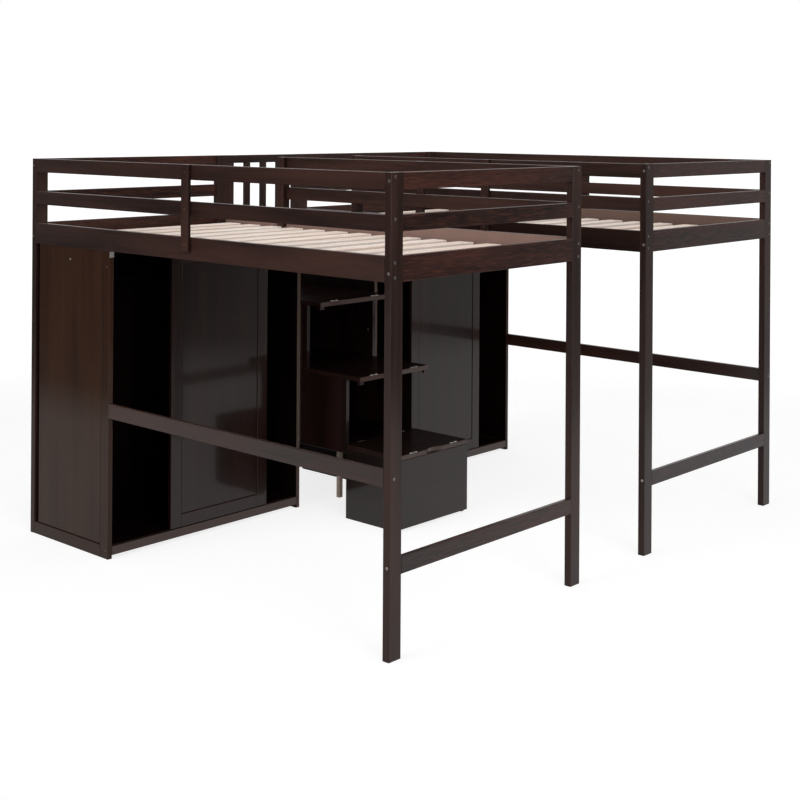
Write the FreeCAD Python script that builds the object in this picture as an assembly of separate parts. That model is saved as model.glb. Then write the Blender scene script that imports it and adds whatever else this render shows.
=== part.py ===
"""Double loft bed: two raised beds, a sliding-door wardrobe under each head end,
and a flight of three box steps in the space between the beds.

Millimetres, +Z up. X runs across both beds, Y from the foot end to the head end.
The origin is on the floor, under the middle of the whole.
"""
import FreeCAD, Part
import math
import os
from FreeCAD import Vector

os.makedirs("parts", exist_ok=True)

# One bed and the space between the two
bed_width = 1040.0
bed_length = 2010.0
bed_gap = 440.0
bed_height = 1540.0

# Posts and rails
post_across = 57.0
post_along = 28.0
head_inner_post_across = 70.0
rail_thick = 18.0
top_rail_tall = 56.0
mid_rail_drop = 134.0
mid_rail_tall = 54.0
beam_drop = 264.0
beam_tall = 84.0
foot_rail_bottom = 267.0
side_rail_bottom = 546.0
lower_rail_tall = 56.0
edge_ease = 1.5

# Struts that tie the guard rails to the beams
strut_wide = 42.0
strut_thick = 14.0
strut_beam_lap = 52.0
entrance_wide = 370.0
entrance_strut_deep = 36.0
entrance_strut_lap = 43.0

# Slats on their ledgers
slat_count = 14
slat_foot_gap = 69.0
slat_head_gap = 81.5
slat_wide = 72.0
slat_thick = 15.0
slat_end_play = 17.0
ledger_wide = 30.0
ledger_tall = 22.0
ledger_lift = 2.0
ledger_end_gap = 4.0

# Bolt heads on the posts
bolt_radius = 5.0
bolt_facets = 14
bolt_proud = 1.2
bolt_edge_inset = 19.0
bolt_side_inset = 10.0
guard_bolt_drop = 14.0
beam_bolt_drop = 21.0
beam_bolt_apart = 47.0
side_bolt_drop = 55.0

# Wardrobe under the head end
wardrobe_deep = 480.0
wardrobe_post_gap = 27.0
board_thick = 20.0
stile_wide = 51.0
side_foot_rail = 49.0
side_tongue = 6.0
panel_reveal = 2.5
panel_recess = 2.0
floor_board_thick = 18.0
top_board_thick = 18.0
plinth_deep = 22.0
plinth_bottom = 14.0
plinth_top = 48.0
back_thick = 6.0
back_inset = 6.0
back_joiner_wide = 26.0
back_joiner_thick = 3.0

# Sliding door
door_wide = 520.0
door_thick = 16.0
door_set_back = 4.0
door_stile = 54.0
door_rail = 53.0
door_gap = 1.0
runner_thick = 6.0
runner_deep = 6.0
track_play = 0.3
left_door_share = 0.6255
right_door_share = 0.4675

# Hanging rod
rod_radius = 12.5
rod_drop = 124.0
rod_from_front = 240.0
socket_radius = 22.0
socket_thick = 6.0
socket_bore_play = 0.2

# Steps between the beds
step_board = 18.0
tread_thick = 20.0
step_rise = 296.0
step_count = 3
first_rise = 316.0
tread_reach = (1113.0, 884.0, 642.0)
tread_overhangs = (0.0, 82.0, 84.0)
lid_hinge_gap = 5.0
box_two_deep = 482.0
landing_back_gap = 25.0
box_two_skirt = 20.0
step_one_lift = 10.0
notch_half = 52.0
notch_deep = 13.0
hinge_radius = 2.2
hinge_long = 40.0
hinge_leaf_thick = 1.2
hinge_leaf_tall = 15.0
hinge_from_middle = 130.0
lid_leaf_gap = 1.0

# Small plates on the front edges of the treads
plate_long = 34.0
plate_deep = 9.0
plate_proud = 1.2
cap_radius = 5.5
cap_proud = 2.4
plate_edge_inset = 2.0

# Corner blocks under the overhanging treads
block_wide = 26.0
block_deep = 14.0
block_tall = 13.0

# Spacers and the leg that carry the steps
spacer_wide = 40.0
spacer_insets = (25.0, 165.0)
leg_across = 22.0
leg_along = 20.0

# Guard panel between the beds at the head end
panel_rail_tall = 37.0
panel_thick = 18.0
panel_slat_wide = 31.0
panel_slat_count = 5

# Steel plate on the front corner of each wardrobe
corner_plate_tall = 22.0
corner_plate_thick = 1.5
corner_plate_drop = 2.0

# Lengths that follow from the sizes above
whole_width = 2 * bed_width + bed_gap
middle_x = whole_width / 2
mid_rail_top = bed_height - mid_rail_drop
beam_top = bed_height - beam_drop
beam_bottom = beam_top - beam_tall
slat_bottom = beam_bottom + ledger_lift + ledger_tall
slat_top = slat_bottom + slat_thick
slat_pitch = (bed_length - slat_foot_gap - slat_head_gap - slat_wide) / (slat_count - 1)
far_post_x = bed_width - post_across
head_inner_post_x = bed_width - head_inner_post_across
head_post_y = bed_length - post_along
steps_left = bed_width
steps_right = bed_width + bed_gap
entrance_strut_back = head_post_y - entrance_wide
entrance_strut_front = entrance_strut_back - strut_wide
wardrobe_wide = bed_width - rail_thick
wardrobe_back = head_post_y - wardrobe_post_gap
wardrobe_front = wardrobe_back - wardrobe_deep
door_front = wardrobe_front + door_set_back
door_back = door_front + door_thick
door_middle = (door_front + door_back) / 2
door_bottom = plinth_top + door_gap
top_board_bottom = beam_bottom - top_board_thick
door_top = top_board_bottom - door_gap
door_run = wardrobe_wide - 2 * board_thick - door_wide
step_fronts = [bed_length - reach for reach in tread_reach]
box_fronts = [front + lap for front, lap in zip(step_fronts, tread_overhangs)]
tread_tops = [first_rise + index * step_rise for index in range(step_count)]
box_two_back = box_fronts[1] + box_two_deep
box_three_back = bed_length - landing_back_gap
lid_back = box_fronts[1] - lid_hinge_gap
hinge_y = (lid_back + box_fronts[1]) / 2
hinge_z = tread_tops[0] - hinge_radius
shift = Vector(-middle_x, -bed_length / 2, 0)


def spread(axis, along, first, second):
    """Vector with one value on the given axis and the others in order after it."""
    values = [0, 0, 0]
    values[axis] = along
    values[(axis + 1) % 3] = first
    values[(axis + 2) % 3] = second
    return Vector(*values)


def profile_bar(axis, start, end, outline):
    """Closed outline swept along one axis. The outline is given on the two axes after it."""
    points = [spread(axis, start, u, v) for u, v in outline]
    face = Part.Face(Part.makePolygon(points + [points[0]]))
    return face.extrude(spread(axis, end - start, 0, 0))


def eased_outline(u0, u1, v0, v1, ease):
    """Rectangle with its four corners cut at 45 degrees."""
    return [
        (u0 + ease, v0), (u1 - ease, v0), (u1, v0 + ease), (u1, v1 - ease),
        (u1 - ease, v1), (u0 + ease, v1), (u0, v1 - ease), (u0, v0 + ease),
    ]


def board(x0, x1, y0, y1, z0, z1, ease=edge_ease):
    """Board between two corners, with the edges along its longest side eased."""
    low, high = (x0, y0, z0), (x1, y1, z1)
    size = [b - a for a, b in zip(low, high)]
    axis = size.index(max(size))
    u, v = (axis + 1) % 3, (axis + 2) % 3
    outline = eased_outline(low[u], high[u], low[v], high[v], ease)
    return profile_bar(axis, low[axis], high[axis], outline)


def block(x0, x1, y0, y1, z0, z1):
    """Plain square-edged block between two corners."""
    return Part.makeBox(x1 - x0, y1 - y0, z1 - z0, Vector(x0, y0, z0))


def mirrored(shapes):
    """The same pieces on the other bed, reflected in the middle plane."""
    return [s.mirror(Vector(middle_x, 0, 0), Vector(1, 0, 0)) for s in shapes]


def posts():
    """Four posts of the left bed, from the floor to the top of the guard rails."""
    found = {}
    for end, y0, inner_x in (("foot", 0, far_post_x), ("head", head_post_y, head_inner_post_x)):
        for side, x0, x1 in (("outer", 0, post_across), ("inner", inner_x, bed_width)):
            found[f"{end}_{side}_post"] = [board(x0, x1, y0, y0 + post_along, 0, bed_height)]
    return found


def rail_heights():
    """Bottom and top of the upper and middle guard rail."""
    upper = (bed_height - top_rail_tall, bed_height)
    middle = (mid_rail_top - mid_rail_tall, mid_rail_top)
    return upper, middle


def side_rails():
    """Rails and beams of the left bed that run from the foot to the head."""
    y0, y1 = post_along, head_post_y
    inner_x = bed_width - rail_thick
    guards = rail_heights()
    low = side_rail_bottom
    return {
        "outer_guard_rails": [board(0, rail_thick, y0, y1, a, b) for a, b in guards],
        "outer_beam": [board(0, rail_thick, y0, y1, beam_bottom, beam_top)],
        "outer_lower_rail": [board(0, rail_thick, y0, wardrobe_front, low, low + lower_rail_tall)],
        "inner_guard_rails": [
            board(inner_x, bed_width, y0, entrance_strut_front, a, b) for a, b in guards],
        "inner_beam": [board(inner_x, bed_width, y0, y1, beam_bottom, beam_top)],
    }


def end_rails():
    """Rails and beams of the left bed that run across its foot and its head."""
    x0, x1 = post_across, far_post_x
    guards = rail_heights()
    head_y = bed_length - rail_thick
    low = foot_rail_bottom
    return {
        "foot_guard_rails": [board(x0, x1, 0, rail_thick, a, b) for a, b in guards],
        "foot_beam": [board(x0, x1, 0, rail_thick, beam_bottom, beam_top)],
        "foot_lower_rail": [board(x0, x1, 0, rail_thick, low, low + lower_rail_tall)],
        "head_rails": [board(x0, head_inner_post_x, head_y, bed_length, a, b)
                       for a, b in guards + ((beam_bottom, beam_top),)],
    }


def slats():
    """Pine slats across the left bed, evenly spaced along it."""
    x0 = rail_thick + slat_end_play
    x1 = bed_width - x0
    pieces = []
    for index in range(slat_count):
        y0 = slat_foot_gap + index * slat_pitch
        pieces.append(board(x0, x1, y0, y0 + slat_wide, slat_bottom, slat_top))
    return pieces


def ledgers():
    """Two battens on the inside of the side beams, which carry the slats."""
    y0, y1 = post_along + ledger_end_gap, head_post_y - ledger_end_gap
    z0 = beam_bottom + ledger_lift
    starts = (rail_thick, bed_width - rail_thick - ledger_wide)
    return [board(x, x + ledger_wide, y0, y1, z0, slat_bottom) for x in starts]


def middle_strut(x0, y0, y1):
    """Flat strut halfway between two places along a side, over the rails and the beam."""
    start = (y0 + y1 - strut_wide) / 2
    low = beam_top - strut_beam_lap
    return board(x0, x0 + strut_thick, start, start + strut_wide, low, bed_height)


def entrance_strut():
    """Thick strut that ends the inner rails, notched over the inside of the beam."""
    y0, y1 = entrance_strut_front, entrance_strut_back
    x0, x1 = bed_width - entrance_strut_deep, bed_width
    foot_x = bed_width - rail_thick
    outline = [(y0, beam_top), (y1, beam_top), (y1, bed_height), (y0, bed_height)]
    upper = profile_bar(0, foot_x, x1, outline)
    low = beam_top - entrance_strut_lap
    outline = [(y0, low), (y1, low), (y1, bed_height), (y0, bed_height)]
    return upper.fuse(profile_bar(0, x0, foot_x, outline)).removeSplitter()


def struts():
    """Struts of the left bed: outside, facing the other bed, and at the entrance."""
    outer = middle_strut(-strut_thick, post_along, head_post_y)
    inner = middle_strut(bed_width, post_along, entrance_strut_front)
    return [outer, inner, entrance_strut()]


def round_head(radius, proud, centre, direction):
    """Flat round head with few facets, standing out along the direction."""
    side = Vector(direction.y, direction.z, direction.x)
    up = direction.cross(side)
    points = []
    for index in range(bolt_facets):
        turn = 2 * math.pi * index / bolt_facets
        points.append(centre + side * (radius * math.cos(turn)) + up * (radius * math.sin(turn)))
    return Part.Face(Part.makePolygon(points + [points[0]])).extrude(direction * proud)


def bolt_head(x, y, z, direction):
    """Bolt head on a post face."""
    return round_head(bolt_radius, bolt_proud, Vector(x, y, z), direction)


def end_face_bolts():
    """Heights of the bolts through the end faces of the posts into the long rails."""
    first = beam_top - beam_bolt_drop
    return [bed_height - guard_bolt_drop, mid_rail_top - guard_bolt_drop, first, first - beam_bolt_apart]


def side_face_bolts():
    """Heights of the bolts through the side faces of the posts into the end rails."""
    return [bed_height - top_rail_tall / 2, beam_top - side_bolt_drop]


def bolts():
    """Bolt heads on the end faces and the side faces of the left bed's posts."""
    edges = (bolt_edge_inset, bed_width - bolt_edge_inset)
    side_low = side_rail_bottom + lower_rail_tall / 2
    foot_low = foot_rail_bottom + lower_rail_tall / 2
    heads = [bolt_head(bolt_edge_inset, 0, side_low, Vector(0, -1, 0))]
    for x in edges:
        heads += [bolt_head(x, 0, z, Vector(0, -1, 0)) for z in end_face_bolts()]
        heads += [bolt_head(x, bed_length, z, Vector(0, 1, 0)) for z in end_face_bolts()]
    for x, way in ((0, -1), (bed_width, 1)):
        for z in side_face_bolts() + [foot_low]:
            heads.append(bolt_head(x, bolt_side_inset, z, Vector(way, 0, 0)))
    for z in side_face_bolts():
        heads.append(bolt_head(0, bed_length - bolt_side_inset, z, Vector(-1, 0, 0)))
    return heads


def tongue_outline(u0, u1, v0, v1, ease, opens_up):
    """Section of a frame piece: an eased bar with a groove along one side for the panel."""
    middle = (v0 + v1) / 2
    half = side_tongue / 2
    depth = side_tongue
    if opens_up:
        return [(u0 + ease, v0), (u1, v0), (u1, middle - half), (u1 - depth, middle - half),
                (u1 - depth, middle + half), (u1, middle + half), (u1, v1), (u0 + ease, v1),
                (u0, v1 - ease), (u0, v0 + ease)]
    return [(u0, v0), (u1 - ease, v0), (u1, v0 + ease), (u1, v1 - ease), (u1 - ease, v1),
            (u0, v1), (u0, middle + half), (u0 + depth, middle + half),
            (u0 + depth, middle - half), (u0, middle - half)]


def field_panel(u0, u1, w0, w1, v0, v1, free_far_edge):
    """Panel on the U-W plane whose thin tongue fills the grooves round it.

    A narrow reveal is left all round the thicker field, as a shadow line.
    """
    middle = (v0 + v1) / 2
    half = side_tongue / 2
    reach = side_tongue
    far = u1 if free_far_edge else u1 + reach
    far_field = u1 if free_far_edge else u1 - panel_reveal
    top = w1 if free_far_edge else w1 + reach
    top_field = w1 if free_far_edge else w1 - panel_reveal
    tongue = block(u0 - reach, far, w0 - reach, top, middle - half, middle + half)
    field = block(u0 + panel_reveal, far_field, w0 + panel_reveal, top_field,
                  v0 + panel_recess, v1 - panel_recess)
    return tongue.fuse(field).removeSplitter()


def stand_up(shape):
    """Turns a panel drawn flat, X across and Y up, to stand facing the foot end."""
    turned = shape.copy()
    turned.rotate(Vector(0, 0, 0), Vector(1, 0, 0), 90)
    return turned


def face_side(shape):
    """Turns a panel that stands facing the foot end to stand facing the side."""
    turned = stand_up(shape)
    turned.rotate(Vector(0, 0, 0), Vector(0, 0, 1), 90)
    return turned


def moved(shape, x, y, z):
    """Copy of the shape at another place."""
    copy = shape.copy()
    copy.translate(Vector(x, y, z))
    return copy


def door(place_share):
    """Framed sliding door: two stiles, two rails, a tongued panel and two runners.

    The share is how much of its run lies between the door and the outer side board.
    """
    x0 = board_thick + place_share * door_run
    x1 = x0 + door_wide
    y0, y1 = door_front, door_back
    z0, z1 = door_bottom, door_top
    left_outline = tongue_outline(x0, x0 + door_stile, y0, y1, edge_ease, True)
    right_outline = tongue_outline(x1 - door_stile, x1, y0, y1, edge_ease, False)
    stiles = [profile_bar(2, z0, z1, left_outline), profile_bar(2, z0, z1, right_outline)]
    rails = []
    for low, high, opens_up in ((z0, z0 + door_rail, True), (z1 - door_rail, z1, False)):
        turned = [(v, u) for u, v in tongue_outline(low, high, y0, y1, edge_ease, opens_up)]
        rails.append(profile_bar(0, x0 + door_stile, x1 - door_stile, turned))
    flat = field_panel(x0 + door_stile, x1 - door_stile, z0 + door_rail, z1 - door_rail,
                       -door_thick, 0, False)
    panel = moved(stand_up(flat), 0, y0, 0)
    across = (door_middle - runner_thick / 2, door_middle + runner_thick / 2)
    groove = runner_deep + door_gap
    runners = [
        block(x0, x1, *across, z0 - groove, z0),
        block(x0, x1, *across, z1, z1 + groove),
    ]
    return stiles + rails + [panel] + runners


def wardrobe_outer_side():
    """Framed side board: a front stile and a foot rail hold a tongued panel."""
    y0, y1 = wardrobe_front, wardrobe_back
    inner = y0 + stile_wide
    turned = tongue_outline(y0, inner, 0, board_thick, edge_ease, True)
    stile = profile_bar(2, 0, beam_bottom, [(v, u) for u, v in turned])
    foot = tongue_outline(0, side_foot_rail, 0, board_thick, edge_ease, True)
    foot_rail = profile_bar(1, inner, head_post_y, foot)
    flat = field_panel(inner, y1, side_foot_rail, beam_bottom, -board_thick, 0, True)
    panel = moved(face_side(flat), board_thick, 0, 0)
    return [stile, foot_rail, panel]


def top_board(x0, x1):
    """Top of the wardrobe, with the groove that guides the door's upper runner."""
    low, high = top_board_bottom, beam_bottom
    half = runner_thick / 2 + track_play
    depth = low + runner_deep + track_play
    outline = [
        (wardrobe_front, low), (door_middle - half, low), (door_middle - half, depth),
        (door_middle + half, depth), (door_middle + half, low),
        (wardrobe_back - back_inset - back_thick, low),
        (wardrobe_back - back_inset - back_thick, high), (wardrobe_front, high),
    ]
    return profile_bar(0, x0, x1, outline)


def plinth(x0, x1):
    """Front board under the door, with the groove that the lower runner slides in."""
    low, high = plinth_bottom, plinth_top
    half = runner_thick / 2 + track_play
    depth = high - runner_deep - track_play
    back = wardrobe_front + plinth_deep
    outline = [
        (wardrobe_front, low), (back, low), (back, high), (door_middle + half, high),
        (door_middle + half, depth), (door_middle - half, depth),
        (door_middle - half, high), (wardrobe_front, high),
    ]
    return profile_bar(0, x0, x1, outline)


def wardrobe_back_panels(x0, x1):
    """Two thin back panels and the strip that covers their joint inside."""
    y1 = wardrobe_back - back_inset
    y0 = y1 - back_thick
    middle = (x0 + x1) / 2
    low = plinth_top - floor_board_thick
    panels = [block(x0, middle, y0, y1, low, beam_bottom), block(middle, x1, y0, y1, low, beam_bottom)]
    half = back_joiner_wide / 2
    joiner = block(middle - half, middle + half, y0 - back_joiner_thick, y0, plinth_top, top_board_bottom)
    return panels + [joiner]


def hanging_rod(x0, x1):
    """Rod across the wardrobe, held in a round socket on each side board."""
    y, z = wardrobe_front + rod_from_front, top_board_bottom - rod_drop
    along = Vector(1, 0, 0)
    rod = Part.makeCylinder(rod_radius, x1 - x0, Vector(x0, y, z), along)
    sockets = []
    for x in (x0, x1 - socket_thick):
        ring = Part.makeCylinder(socket_radius, socket_thick, Vector(x, y, z), along)
        bore = Part.makeCylinder(rod_radius + socket_bore_play, socket_thick, Vector(x, y, z), along)
        sockets.append(ring.cut(bore))
    return [rod] + sockets


def wardrobe(door_share):
    """Pieces of the wardrobe under the left bed, with the door at the given share of its run."""
    x0, x1 = board_thick, wardrobe_wide - board_thick
    inner_back = wardrobe_back - back_inset - back_thick
    floor_front = wardrobe_front + plinth_deep
    floor_low = plinth_top - floor_board_thick
    return {
        "wardrobe_outer_side": wardrobe_outer_side(),
        "wardrobe_inner_side": [
            board(x1, wardrobe_wide, wardrobe_front, wardrobe_back, 0, beam_bottom)],
        "wardrobe_top": [top_board(x0, x1)],
        "wardrobe_base": [
            plinth(x0, x1), block(x0, x1, floor_front, inner_back, floor_low, plinth_top)],
        "wardrobe_back": wardrobe_back_panels(x0, x1),
        "wardrobe_door": door(door_share),
    }


def corner_plate():
    """Small plate on the front edge of the wardrobe, right under the beam."""
    high = beam_bottom - corner_plate_drop
    return block(0, board_thick, wardrobe_front - corner_plate_thick, wardrobe_front,
                 high - corner_plate_tall, high)


def notched_lid():
    """Lid of the bottom step, with a shallow curved finger notch in its front edge."""
    x0, x1 = steps_left, steps_right
    y0, y1 = step_fronts[0], lid_back
    z1 = tread_tops[0]
    plain = board(x0, x1, y0, y1, z1 - tread_thick, z1)
    radius = (notch_half ** 2 + notch_deep ** 2) / (2 * notch_deep)
    centre = Vector(middle_x, y0 + notch_deep - radius, z1 - tread_thick)
    return plain.cut(Part.makeCylinder(radius, tread_thick, centre))


def hinge_centres():
    """Middles of the two hinges along the back of the lid."""
    return middle_x - hinge_from_middle, middle_x + hinge_from_middle


def lid_leaves():
    """Hinge leaves on the back edge of the lid."""
    high = tread_tops[0] - 2 * hinge_radius - lid_leaf_gap
    low = tread_tops[0] - tread_thick + lid_leaf_gap
    return [block(x - hinge_long / 2, x + hinge_long / 2, lid_back, lid_back + hinge_leaf_thick,
                  low, high) for x in hinge_centres()]


def fixed_hinges():
    """Hinge barrels and their leaves on the floor board behind the lid."""
    pieces = []
    front = box_fronts[1]
    for x in hinge_centres():
        start = x - hinge_long / 2
        barrel = Part.makeCylinder(hinge_radius, hinge_long, Vector(start, hinge_y, hinge_z), Vector(1, 0, 0))
        leaf = block(start, start + hinge_long, front - hinge_leaf_thick, front,
                     hinge_z - hinge_leaf_tall, hinge_z)
        pieces.append(barrel.fuse(leaf).removeSplitter())
    return pieces


def tread_plates(level):
    """Two steel plates on the front edge of one tread, each with a pair of round caps."""
    z = tread_tops[level]
    y0 = step_fronts[level] + plate_edge_inset
    y1 = y0 + plate_deep
    pieces = []
    for x in hinge_centres():
        x0, x1 = x - plate_long / 2, x + plate_long / 2
        plate = block(x0, x1, y0, y1, z, z + plate_proud)
        for end in (x0, x1):
            centre = Vector(end, (y0 + y1) / 2, z)
            cap = round_head(cap_radius, cap_proud, centre, Vector(0, 0, 1))
            plate = plate.fuse(cap)
        pieces.append(plate.removeSplitter())
    return pieces


def step_sides(front, back, low, high):
    """Left and right side boards of one step box."""
    return [board(steps_left, steps_left + step_board, front, back, low, high),
            board(steps_right - step_board, steps_right, front, back, low, high)]


def tread(level, back):
    """Tread board that overhangs its box at the front."""
    z = tread_tops[level]
    return board(steps_left, steps_right, step_fronts[level], back, z - tread_thick, z)


def corner_blocks():
    """Small blocks under the front corners of the two upper treads."""
    pieces = []
    for level in (1, 2):
        z1 = tread_tops[level] - tread_thick
        y0 = step_fronts[level] + plate_edge_inset
        for x0 in (steps_left, steps_right - block_wide):
            pieces.append(block(x0, x0 + block_wide, y0, y0 + block_deep, z1 - block_tall, z1))
    return pieces


def step_levels():
    """Undersides of the three treads, where the boxes end."""
    return [top - tread_thick for top in tread_tops]


def step_floors_and_backs():
    """Floor of the bottom box, floor of the middle box, and the back of each box."""
    x0, x1 = steps_left + step_board, steps_right - step_board
    under = step_levels()
    low_two = under[0] - box_two_skirt
    first_front = box_fronts[0] + step_board
    return [
        block(x0, x1, first_front, box_fronts[1] - step_board, step_one_lift, step_one_lift + step_board),
        block(x0, x1, box_fronts[1] - step_board, box_fronts[1], step_one_lift, under[0]),
        block(x0, x1, box_fronts[1], box_two_back - step_board, under[0], tread_tops[0]),
        block(x0, x1, box_two_back - step_board, box_two_back, low_two, under[1]),
        block(x0, x1, box_three_back - step_board, box_three_back, tread_tops[1], under[2]),
    ]


def spacers_and_leg():
    """Pine battens between the step boxes and the wardrobes, and the pine leg in the middle."""
    low = step_levels()[0] - box_two_skirt
    high = step_levels()[2]
    x0 = wardrobe_wide
    starts = [wardrobe_front + inset for inset in spacer_insets]
    left = [board(x0, steps_left, y, y + spacer_wide, low, high) for y in starts]
    leg = board(middle_x - leg_across / 2, middle_x + leg_across / 2,
                box_fronts[2], box_fronts[2] + leg_along, 0, step_levels()[0])
    return left + mirrored(left) + [leg]


def steps():
    """The three step boxes between the beds."""
    under = step_levels()
    front = box_fronts[0]
    low_two = under[0] - box_two_skirt
    return {
        "step_one_front": [
            board(steps_left, steps_right, front, front + step_board, step_one_lift, under[0])],
        "step_one_sides": step_sides(front + step_board, box_fronts[1], 0, under[0]),
        "step_one_lid": [notched_lid()],
        "lid_fittings": lid_leaves() + tread_plates(0),
        "step_two_sides": step_sides(box_fronts[1], box_two_back, low_two, under[1]),
        "step_two_tread": [tread(1, box_three_back)],
        "step_three_sides": step_sides(box_fronts[2], box_three_back, tread_tops[1], under[2]),
        "step_three_tread": [tread(2, box_three_back)],
        "step_floors_and_backs": step_floors_and_backs(),
        "step_spacers_and_leg": spacers_and_leg(),
        "step_fittings": fixed_hinges() + tread_plates(1) + tread_plates(2),
        "step_corner_blocks": corner_blocks(),
    }


def guard_panel():
    """Slatted guard between the inner head posts of the two beds."""
    y0, y1 = head_post_y, head_post_y + panel_thick
    pitch = (bed_gap - panel_slat_wide) / (panel_slat_count - 1)
    high = bed_height - panel_rail_tall
    pieces = [
        board(steps_left, steps_right, y0, y1, high, bed_height),
        board(steps_left, steps_right, y0, y1, beam_bottom, beam_top),
    ]
    for index in range(panel_slat_count):
        x0 = steps_left + index * pitch
        pieces.append(board(x0, x0 + panel_slat_wide, y0, y1, beam_top, high))
    return pieces


def save(name, shapes):
    """Writes one node, moved so that the origin is under the middle."""
    shape = Part.makeCompound(shapes) if len(shapes) > 1 else shapes[0]
    moved(shape, *shift).exportStep(f"parts/{name}.step")


def build():
    """Builds and writes every node."""
    left_bed = {**posts(), **side_rails(), **end_rails(), "slats": slats()}
    for name, shapes in left_bed.items():
        save(f"left_{name}", shapes)
        save(f"right_{name}", mirrored(shapes))
    shared = {
        "slat_ledgers": ledgers(),
        "guard_struts": struts(),
        "post_bolts": bolts(),
        "wardrobe_rods": hanging_rod(board_thick, wardrobe_wide - board_thick),
        "wardrobe_corner_plates": [corner_plate()],
    }
    for name, shapes in shared.items():
        save(name, shapes + mirrored(shapes))
    for name, shapes in wardrobe(left_door_share).items():
        save(f"left_{name}", shapes)
    for name, shapes in wardrobe(right_door_share).items():
        save(f"right_{name}", mirrored(shapes))
    for name, shapes in steps().items():
        save(name, shapes)
    save("head_guard_panel", guard_panel())


build()
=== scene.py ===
"""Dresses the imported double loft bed: stained boards, pine slats, steel fittings and a plain studio."""

import logging
import math
import random
from collections.abc import Iterable
from dataclasses import dataclass, replace
from enum import Enum

import bmesh
import bpy
from mathutils import Matrix, Vector


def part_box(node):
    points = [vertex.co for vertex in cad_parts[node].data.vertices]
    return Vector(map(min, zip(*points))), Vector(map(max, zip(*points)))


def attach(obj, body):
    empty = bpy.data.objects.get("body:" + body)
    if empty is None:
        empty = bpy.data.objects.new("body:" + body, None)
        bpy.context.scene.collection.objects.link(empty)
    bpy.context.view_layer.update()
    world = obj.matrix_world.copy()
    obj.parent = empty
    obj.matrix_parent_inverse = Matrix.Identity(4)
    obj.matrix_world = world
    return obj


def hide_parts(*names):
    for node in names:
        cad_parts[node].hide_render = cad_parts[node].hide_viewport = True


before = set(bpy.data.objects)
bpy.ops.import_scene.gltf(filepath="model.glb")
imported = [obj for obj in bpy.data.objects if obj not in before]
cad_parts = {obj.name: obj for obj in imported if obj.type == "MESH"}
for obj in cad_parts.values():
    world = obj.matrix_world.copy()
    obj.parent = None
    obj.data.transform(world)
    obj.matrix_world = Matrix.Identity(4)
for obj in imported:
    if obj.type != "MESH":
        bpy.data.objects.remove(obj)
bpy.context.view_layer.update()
LOG = logging.getLogger("loft_bed")
MM = 0.001
# Boards take their grain from places that lie up to this many metres apart in the pattern.
WOOD_REACH = 40.0
# Variants of a finish show places in the wood that lie this many metres apart.
VARIANT_STEP = 3.7


def shade(code: str) -> tuple[float, float, float, float]:
    """Turns an sRGB hex colour into linear RGBA.

    Args:
        code: Colour such as "#3a2c28".

    Returns:
        Linear red, green, blue and an alpha of one.
    """
    values = [int(code[i:i + 2], 16) / 255 for i in (1, 3, 5)]
    linear = [v / 12.92 if v <= 0.04045 else ((v + 0.055) / 1.055) ** 2.4 for v in values]
    return (linear[0], linear[1], linear[2], 1.0)


def add(tree: bpy.types.NodeTree, kind: str, inputs: dict | None = None, **settings: object
        ) -> bpy.types.bpy_prop_collection:
    """Adds one node with its settings, its values and its links.

    Args:
        tree: Tree that gets the node.
        kind: Node type, such as "ShaderNodeMix".
        inputs: Socket name or index to a value, or to an output socket to link.
        settings: Attributes of the node.

    Returns:
        The outputs of the new node.
    """
    node = tree.nodes.new(kind)
    for key, value in settings.items():
        setattr(node, key, value)
    for key, value in (inputs or {}).items():
        if isinstance(value, bpy.types.NodeSocket):
            tree.links.new(value, node.inputs[key])
        else:
            node.inputs[key].default_value = value
    return node.outputs


def empty_material(name: str) -> tuple[bpy.types.Material, bpy.types.NodeTree]:
    """Makes a material with an empty tree.

    Args:
        name: Name of the material.

    Returns:
        The material and its tree.
    """
    material = bpy.data.materials.new(name)
    material.use_nodes = True
    material.node_tree.nodes.clear()
    return material, material.node_tree


def finished(material: bpy.types.Material, inputs: dict) -> bpy.types.Material:
    """Ends a material with its shader.

    Args:
        material: The material.
        inputs: Inputs of the Principled BSDF.

    Returns:
        The material.
    """
    surface = add(material.node_tree, "ShaderNodeBsdfPrincipled", inputs)[0]
    add(material.node_tree, "ShaderNodeOutputMaterial", {"Surface": surface})
    return material


def linked(name: str, data: bpy.types.ID) -> bpy.types.Object:
    """Makes an object and links it to the scene.

    Args:
        name: Name of the object.
        data: Its mesh, lamp or camera.

    Returns:
        The object.
    """
    made = bpy.data.objects.new(name, data)
    bpy.context.scene.collection.objects.link(made)
    return made


class Grain(Enum):
    """Where a wood finish reads the way its grain runs: the turn of each axis in its order, or the board."""

    ALONG_X = (0.0, 0.0, 0.0)
    ALONG_Y = (0.0, 0.0, -math.pi / 2)
    ALONG_Z = (0.0, math.pi / 2, 0.0)
    BOARD = None


def grain_place(tree: bpy.types.NodeTree, grain: Grain, shift: float) -> bpy.types.NodeSocket:
    """Adds the coordinates of a piece of wood, with X along the grain, in metres.

    Args:
        tree: Material tree.
        grain: Direction, or BOARD for each board's own stored place.
        shift: Distance that moves the pattern, so that pieces differ.

    Returns:
        Vector socket.
    """
    if grain is Grain.BOARD:
        return add(tree, "ShaderNodeAttribute", attribute_name="grain")["Vector"]
    source = add(tree, "ShaderNodeTexCoord")["Object"]
    return add(tree, "ShaderNodeMapping", {
        "Vector": source, "Rotation": grain.value, "Location": (shift, shift * 0.7, -shift)})[0]


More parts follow.
